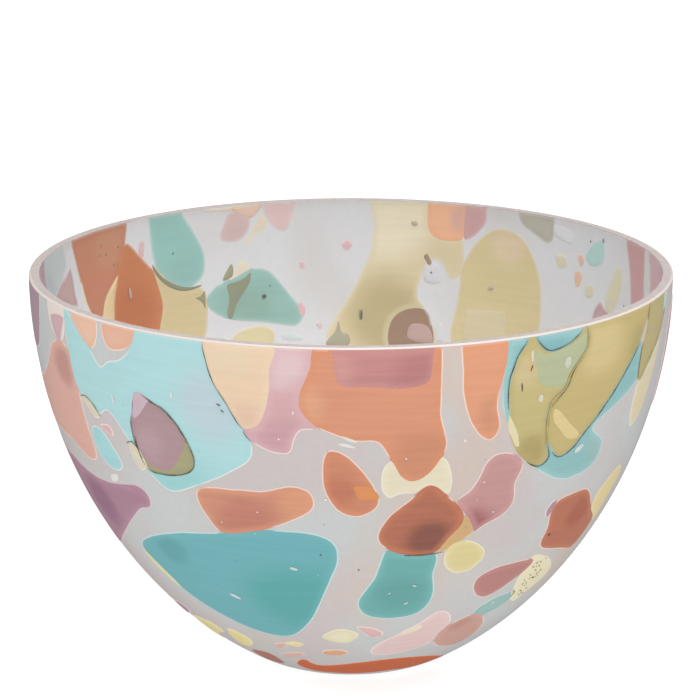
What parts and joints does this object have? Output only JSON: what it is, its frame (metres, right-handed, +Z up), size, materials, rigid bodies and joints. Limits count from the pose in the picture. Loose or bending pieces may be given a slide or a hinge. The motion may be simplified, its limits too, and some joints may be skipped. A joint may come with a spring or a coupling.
{
  "type": "art glass bowl",
  "caption": "Deep round blown glass bowl with a flat ground rim and foot, a pale opal body and coloured glass shards set in its outer face.",
  "frame": {"origin": "middle of the ground foot, on the plane that the bowl stands on", "axes": "+Z up along the bowl's turning axis, -Y towards the side with the large teal and orange shards"},
  "size_m": [0.25, 0.25, 0.155],
  "materials": {
    "opal": "satin opal glass, ground at the rim and the foot",
    "casing": "glossy pale grey-lavender glass, slightly milky",
    "cream": "glossy opaque cream glass",
    "lemon": "glossy pale lemon glass",
    "sand": "glossy sand-coloured glass",
    "ochre": "glossy ochre glass",
    "olive": "glossy olive-grey glass",
    "orange": "glossy soft orange glass",
    "peach": "glossy peach glass",
    "russet": "glossy russet glass",
    "salmon": "glossy salmon glass",
    "rose": "glossy dusty rose glass",
    "plum": "glossy plum glass",
    "sky": "glossy pale sky-blue glass",
    "teal": "glossy sea-teal glass",
    "mist": "glossy misty grey-green glass"
  },
  "bodies": {
    "root": {"inner_lining": "opal", "outer_casing": "casing", "plum_strip_left": "plum", "cream_rim_left": "cream", "salmon_left": "salmon", "peach_rim_left": "peach", "peach_rim_right": "peach", "sky_panel": "sky", "pink_panel": "rose", "cream_panel": "cream", "lemon_collar": "lemon", "orange_cape": "orange", "plum_bar": "plum", "orange_tongue": "orange", "teal_under": "teal", "ochre_right": "ochre", "olive_right": "olive", "sand_strip_right": "sand", "tan_strip_right": "olive", "teal_leaf": "teal", "plum_wing": "plum", "ochre_kidney": "ochre", "plum_kidney": "plum", "orange_oval": "orange", "rose_boot": "rose", "ochre_link": "ochre", "yellow_fin_right": "lemon", "copper_shard": "russet", "teal_keel": "teal", "orange_bar": "orange", "teal_bell": "teal", "russet_shard": "russet", "yellow_pebble": "lemon", "speckled_cream": "lemon", "red_comet": "rose", "teal_chip_low": "teal", "blush_low": "rose", "salmon_low": "salmon", "orange_foot": "orange", "mist_back_left": "mist", "russet_back": "russet", "orange_back": "orange", "ochre_back_left": "ochre", "teal_back_left": "teal", "rose_back_left": "rose", "rose_back_rim": "rose", "teal_back": "teal", "olive_back": "olive", "yellow_back": "sand", "umber_back": "russet", "orange_back_rim": "orange", "plum_back_rim": "rose", "honey_back": "ochre", "olive_back_rim": "olive", "rose_strip_back": "rose", "rose_strip_right": "rose", "teal_back_low": "teal", "plum_back_low": "plum", "orange_back_low": "orange", "sky_back_low": "sky"}
  },
  "joints": []
}
